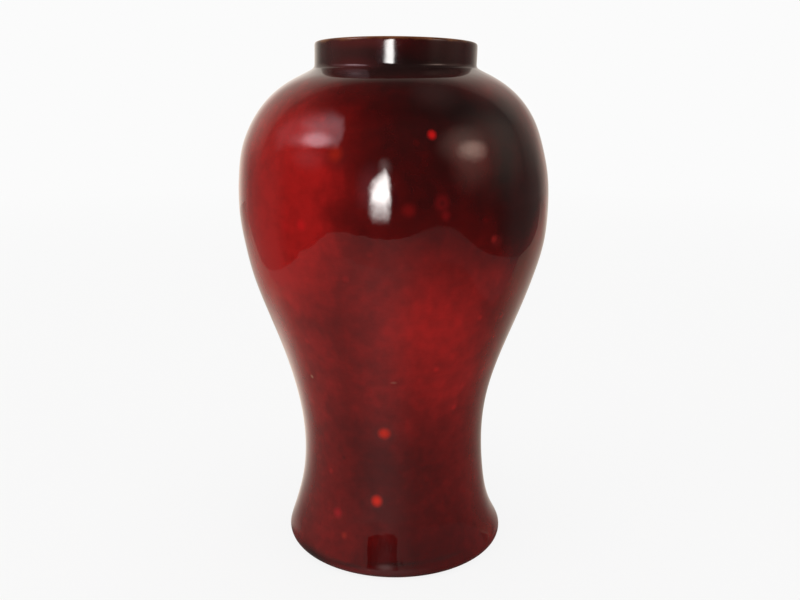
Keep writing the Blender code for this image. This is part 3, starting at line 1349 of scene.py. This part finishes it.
@dataclass(frozen=True)
class Room:
    """The mirrored room: a ball round the stage, flat under it, dim in front and pale behind.

    low_tones run round it from the front to the back at the table's height, and high_tones above.
    """

    radius: float = 3.6
    ground: float = 0.0002
    steps: tuple[int, int] = (61, 97)
    low_tones: Tones = (
        (0.00, (0.050, 0.046, 0.044)), (0.40, (0.060, 0.055, 0.050)), (0.52, (0.145, 0.138, 0.130)),
        (0.66, (0.155, 0.147, 0.136)), (0.80, (0.210, 0.197, 0.180)), (0.86, (0.470, 0.425, 0.370)),
        (0.93, (0.920, 0.820, 0.710)), (1.00, (1.000, 0.910, 0.820)))
    high_tones: Tones = (
        (0.00, (0.045, 0.042, 0.040)), (0.28, (0.060, 0.055, 0.050)), (0.60, (0.150, 0.136, 0.123)),
        (0.675, (0.17, 0.155, 0.140)), (0.70, (0.310, 0.275, 0.240)), (0.80, (0.520, 0.460, 0.400)),
        (0.90, (0.660, 0.590, 0.520)), (0.96, (1.050, 0.940, 0.850)), (1.00, (1.100, 1.000, 0.920)))

    def build(self) -> None:
        """Makes the ball: R (sin t sin p, -cos t, sin t cos p) for angles t from the front and p round it."""
        rows, columns = self.steps
        t, p = np.meshgrid(np.linspace(0.001, math.pi - 0.001, rows), np.linspace(0, 2 * math.pi, columns),
                           indexing="ij")
        points = self.radius * np.stack((np.sin(t) * np.sin(p), -np.cos(t), np.sin(t) * np.cos(p)), axis=-1)
        points[..., 2] = np.maximum(points[..., 2], self.ground)
        index = np.arange(t.size).reshape(t.shape)
        quads = np.stack((index[:-1, :-1], index[1:, :-1], index[1:, 1:], index[:-1, 1:]), axis=-1)
        mesh = mesh_of("mirrored_room", points.reshape(-1, 3), quads.reshape(-1, 4), np.empty((0, 3), int))
        only_in_glaze(placed(mesh, self.material()))

    def material(self) -> bpy.types.Material:
        """The tones of the two heights, brighter to the left and dimmer overhead."""
        w = emitter("mirrored_room")
        across, along, up = w.axes(w.vector("MULTIPLY", w.place, (1 / self.radius,) * 3))
        level = w.length(w.framed(w.place, tuple(self.radius * reach for reach in LEVEL_ONLY)))
        behind = w.ranged(w.maths("DIVIDE", along, level), (-1.0, 1.0), ease=Ease.STRAIGHT)
        back = w.ranged(along, (-1.0, 1.0), ease=Ease.STRAIGHT)
        low, high = w.ramp(behind, self.low_tones), w.ramp(back, self.high_tones)
        tone = w.blend(w.ranged(up, (0.05, 0.40)), low, high)
        left = w.ranged(across, (-0.3, 0.4), (1.15, 0.73))
        far_right = w.ranged(across, (0.56, 0.74), (1.0, 1.12))
        upper_right = w.times(w.ranged(up, (0.35, 0.60), (0.0, 0.4)), w.ranged(across, (-0.1, 0.3)))
        overhead = w.ranged(up, (0.72, 0.95), (1.0, 0.40))
        w.fill(w.shader, Color=tone, Strength=w.times(left, far_right, w.plus(upper_right, 1.0), overhead))
        return w.owner


@dataclass(frozen=True)
class Table:
    """The pale table top that the lower half of the glaze mirrors, with a low board round its edge.

    Each row of edge is a place on the border and the board's rise there. The board hides the window from
    the foot, and leans in on the line from the edge to the belly, so that the belly sees one border. The
    belly mirrors a border at belly_turn times its angle round the vase. Inside the board lean small cards
    that only the foot sees, since their upper side is clear: a name and a level for each, and the places
    of their lower and upper corners. lane_side is the way across the lane of window light on the top.
    """

    level: float = 0.0004
    edge: tuple[Colour, ...] = (
        (-1.60, 1.60, 0.0), (-0.81, 0.63, 0.0), (-0.55, 0.33, 0.0), (-0.50, 0.26, 0.0), (-0.46, 0.17, 0.02),
        (-0.44, 0.08, 0.04), (-0.44, 0.0, 0.045), (-0.44, -0.13, 0.05), (-0.48, -0.18, 0.06),
        (-0.475, -0.28, 0.08), (-0.51, -0.39, 0.10), (-0.57, -0.55, 0.10), (-0.51, -0.63, 0.10),
        (-0.45, -0.68, 0.10), (-0.28, -0.67, 0.10), (-0.03, -0.66, 0.10), (0.11, -0.73, 0.10),
        (0.22, -0.80, 0.13), (0.39, -0.94, 0.14), (0.62, -1.08, 0.14), (0.71, -0.85, 0.13),
        (0.68, -0.65, 0.12), (0.55, -0.38, 0.10), (0.49, -0.19, 0.10), (0.49, -0.09, 0.10),
        (0.50, 0.03, 0.10), (0.53, 0.13, 0.08), (0.69, 0.36, 0.0), (0.96, 0.74, 0.0), (1.80, 1.60, 0.0))
    belly_turn: float = 0.44
    belly_level: float = 0.195
    belly_radius: float = 0.09
    lane_side: Point = (0.982, -0.191)
    cards: tuple[tuple[str, float], ...] = (("dark", 0.028), ("grey", 0.05), ("dim", 0.042))
    card_tint: Colour = (1.0, 0.93, 0.9)
    lower: tuple[Colour, ...] = (
        (-0.149, -0.322, 0.034), (-0.125, -0.335, 0.0275), (0.010, -0.335, 0.0275), (0.024, -0.322, 0.034))
    upper: tuple[Colour, ...] = (
        (-0.110, -0.25, 0.07), (-0.093, -0.25, 0.07), (0.002, -0.25, 0.07), (0.014, -0.25, 0.07))

    def build(self) -> None:
        """Lays the top, stands the board on its edge and leans the cards inside."""
        points = [(x, y, self.level) for x, y, _ in self.edge]
        faces = [tuple(range(len(self.edge)))]
        for x, y, rise in self.edge:
            turn = self.belly_turn * math.atan2(x, -y)
            share = rise / self.belly_level
            across = x + share * (self.belly_radius * math.sin(turn) - x)
            along = y + share * (-self.belly_radius * math.cos(turn) - y)
            points += [(across, along, self.level), (across, along, rise)]
        for step in range(len(self.edge) - 1):
            low = len(self.edge) + 2 * step
            if self.edge[step][2] and self.edge[step + 1][2]:
                faces.append((low, low + 2, low + 3, low + 1))
        boards = len(faces) - 1
        for step in range(len(self.cards)):
            start = len(points)
            points += [self.lower[step], self.lower[step + 1], self.upper[step + 1], self.upper[step]]
            faces.append(tuple(range(start, start + 4)))
        cards = [self.card(name, level) for name, level in self.cards]
        table = flat("mirrored_table", points, faces, self.top(), self.board(), *cards)
        slots = [0] + [1] * boards + [2 + card for card in range(len(cards))]
        table.data.polygons.foreach_set("material_index", slots)
        only_in_glaze(table)

    def top(self) -> bpy.types.Material:
        """Matt grey: darker to the right, with the lane of window light, and paler at the back."""
        w = Wiring("mirrored_table")
        across, along, _ = w.axes(w.place)
        away = w.length(w.place)
        turn = w.maths("DIVIDE", along, away)
        right = w.ranged(across, (-0.1, 0.2))
        near_vase = w.ranged(away, (0.22, 0.42), (1.0, 0.0))
        front = w.blend(w.ranged(across, (-0.30, 0.35)), (0.36, 0.33, 0.31), (0.17, 0.155, 0.145))
        aside = w.plus(*(w.times(run, side) for run, side in zip((across, along), self.lane_side)))
        off_lane = w.maths("ABSOLUTE", aside)
        lane = w.ranged(w.maths("DIVIDE", off_lane, away), (0.0, 0.62), (0.9, 0.0))
        front = w.blend(lane, front, (0.50, 0.46, 0.44))
        side = w.blend(right, (0.52, 0.455, 0.385), (0.44, 0.37, 0.30))
        behind = w.blend(right, (0.86, 0.78, 0.68), (0.80, 0.70, 0.60))
        back = w.blend(w.ranged(turn, (0.35, 0.95)), side, behind)
        back = w.blend(w.times(right, near_vase), back, (0.30, 0.26, 0.21))
        remote = w.times(w.ranged(away, (0.6, 1.2)), w.ranged(turn, (0.66, 0.86), (1.0, 0.0)))
        back = w.blend(remote, back, (0.50, 0.44, 0.38))
        # Painted light on the top, by emission: a shine behind the vase, a glow beside it and a glow far off.
        shine = w.times(w.ranged(turn, (0.1, 0.7), (0.0, 0.5)), w.ranged(away, (0.26, 0.45), (1.0, 0.0)),
                        w.ranged(right, (0.0, 1.0), (1.0, 0.25)))
        beside = w.times(w.ranged(away, (0.07, 0.13), (0.45, 0.0)), w.ranged(turn, (-0.15, 0.05)),
                         w.ranged(right, (0.0, 1.0), (1.0, 0.6)))
        far = w.times(w.ranged(away, (0.8, 1.8), (0.0, 0.36)), w.ranged(turn, (0.75, 0.95)))
        w.fill(w.shader, Base_Color=w.blend(w.ranged(along, (-0.06, 0.16)), front, back),
               Roughness=0.9, Specular_IOR_Level=0.0,
               Emission_Color=(1.0, 0.89, 0.78), Emission_Strength=w.plus(shine, beside, far))
        return w.owner

    def board(self) -> bpy.types.Material:
        """The board's inner face, as bright as the table beside it: paler left and in the middle."""
        w = emitter("mirrored_board")
        tone = w.ramp(w.plus(w.axes(w.place)[0], 0.5), (
            (0.10, (0.36, 0.33, 0.31)), (0.35, (0.36, 0.33, 0.31)), (0.48, (0.42, 0.39, 0.37)),
            (0.62, (0.24, 0.22, 0.21)), (0.90, (0.22, 0.20, 0.19))))
        w.fill(w.shader, Color=tone, Strength=0.85)
        return w.owner

    def card(self, name: str, level: float) -> bpy.types.Material:
        """A card of one level, clear from above.

        Args:
            name: The card's name.
            level: How bright it is.

        Returns:
            The material.
        """
        w = emitter(f"mirrored_{name}_card")
        w.fill(w.shader, Color=tuple(level * part for part in self.card_tint))
        clear = w.node("BsdfTransparent").outputs[0]
        w.show("MixShader", w.node("NewGeometry").outputs["Backfacing"], clear, w.shader.outputs[0])
        return w.owner


@dataclass(frozen=True)
class Studio:
    """The stage: backdrop, soft lamps, and the dim room that the glaze mirrors in front of it."""

    warm: Colour = (1.0, 0.93, 0.87)
    window_light: Colour = (1.0, 0.98, 0.96)
    window_azimuth: float = -9.0

    def build(self) -> None:
        """Sets the stage: colour handling, floor, room, mirrored flats and lamps."""
        bpy.context.scene.view_settings.view_transform = "Standard"
        for thing in (Backdrop(), Room(), Table(), *self.panels(), *self.lights()):
            thing.build()

    def lights(self) -> tuple[Light, ...]:
        """The lamps: daylight from the window, two soft boxes, and a wide soft one overhead."""
        return (
            Light("window_daylight", self.window_azimuth, 6, 3.0, 0.8, 1.4, 0.34),
            Light("left_soft_light", -65, 38, 2.0, 1.2, 1.0, 0.14, self.warm),
            Light("right_soft_light", 65, 26, 2.0, 1.2, 1.0, 0.10, self.warm),
            Light("overhead_soft_light", 0, 90, 2.6, 2.6, 2.6, 0.30),
        )

    def panels(self) -> tuple[Panel, ...]:
        """What the glaze mirrors as lights: the window with its curtain, and the two soft boxes."""
        plain = ((0.0, 0.0), (1.0, 0.0), (0.0, 1.0))
        window = Panel(
            "mirrored_window", self.window_azimuth, 0, 3.0, *plain,
            ((-0.5, -0.2), (0.5, -0.2), (0.5, 1.4), (-0.5, 1.4)),
            (Pane(((-0.45, 0.28, 0.42), (-0.44, -0.20, 0.50), (0.41, -0.20, 0.16), (0.41, 0.12, 0.16),
                   (0.40, 0.66, 0.20), (0.21, 1.04, 0.22), (0.11, 0.96, 0.36), (-0.36, 0.56, 0.36)), 26.0),
             Glow(0.18, 1.0, 0.33, 0.45, 1.0, 1.4)),
            self.window_light)
        under_window = Panel(
            "mirrored_window_low", self.window_azimuth, 0, 1.0, (0.0, 0.0), (0.333, 0.0), (0.0, 0.333),
            ((-0.5, -0.60), (0.52, -0.60), (0.52, 0.42), (-0.5, 0.42)),
            (Pane(((-0.47, 0.36, 0.46), (-0.45, -0.34, 0.40), (-0.27, -0.58, 0.52), (0.32, -0.58, 0.36),
                   (0.46, -0.34, 0.36), (0.46, 0.36, 0.30)), 14.5),
             Glow(0.16, -0.24, 0.10, 0.32, 1.0, 1.5)),
            self.window_light)
        curtain = Panel(
            "mirrored_curtain", self.window_azimuth, 4, 3.1, *plain,
            ((-1.2, -1.2), (0.9, -1.2), (0.9, 2.0), (-1.2, 2.0)),
            (Glow(-0.25, 0.05, 0.85, 1.1, 1.0, 0.40),),
            (1.0, 0.72, 0.86))
        left = Panel(
            "mirrored_left_box", -66, 42, 2.0, (0.055, -0.35), (0.269, 0.071), (-0.146, 0.232),
            ((-7.0, -4.2), (3.2, -4.2), (3.2, 1.0), (2.3, 5.2), (-7.0, 5.2)),
            (Pane(((-5.6, 2.2, 2.4), (-5.6, -2.0, 2.0), (-3.0, -1.1, 1.2), (2.4, -1.1, 0.8), (2.85, 0.8, 0.8),
                   (2.3, 3.2, 1.5), (0.8, 4.4, 2.0), (-1.6, 4.0, 2.2)), 0.34),
             Pane(((-2.2, 2.4, 2.4), (-1.6, -1.2, 1.0), (2.3, -1.1, 0.8), (2.85, 0.0, 0.6), (2.8, 1.6, 0.7),
                   (2.3, 3.2, 1.6), (0.9, 3.8, 2.4)), 1.5),
             Glow(0.15, 0.05, 2.0, 1.15, 0.75, 3.5), Glow(-1.3, 0.1, 2.2, 1.2, 1.0, 0.9),
             Glow(-0.9, -1.9, 2.6, 1.9, 1.0, 0.30)),
            (1.20, 0.90, 1.0))
        right = Panel(
            "mirrored_right_box", 66, 28, 2.0, (-0.144, -0.055), (0.266, -0.062), (0.113, 0.210),
            ((-4.5, -6.0), (9.0, -6.0), (9.0, 5.0), (-4.5, 5.0)),
            (Glow(-1.0, 0.3, 3.2, 2.7, 1.0, 0.75), Glow(0.0, -1.6, 2.6, 3.2, 1.0, 0.34),
             Glow(0.15, -0.35, 1.9, 1.15, 0.85, 2.6), Glow(2.6, 0.2, 6.0, 5.5, 1.0, 0.26),
             Glow(3.5, 1.2, 7.0, 3.6, 1.0, 0.10)),
            (1.25, 0.88, 0.73))
        return window, under_window, curtain, left, right


@dataclass(frozen=True)
class Camera:
    """The photograph's view: eye place in metres, downward pitch, lens and sensor in mm, side shift."""

    back: float = 0.4764
    level: float = 0.2604
    pitch: float = 13.09
    lens: float = 36.0
    sensor: float = 36.0
    shift: float = 0.0081
    nearest: float = 0.01

    def build(self) -> None:
        """Stands the camera in front of the vase and makes it the scene's."""
        data = bpy.data.cameras.new("camera")
        data.lens = self.lens
        data.sensor_width = self.sensor
        data.shift_x = self.shift
        data.clip_start = self.nearest
        camera = placed(data)
        camera.location = (0, -self.back, self.level)
        camera.rotation_euler = (math.radians(90 - self.pitch), 0, 0)
        bpy.context.scene.camera = camera


def main() -> None:
    logging.basicConfig(level=logging.INFO, format="%(name)s: %(message)s")
    pieces = Vase().build()
    Studio().build()
    Camera().build()
    LOG.info("%d pieces", len(pieces))


if __name__ == "__main__":
    main()
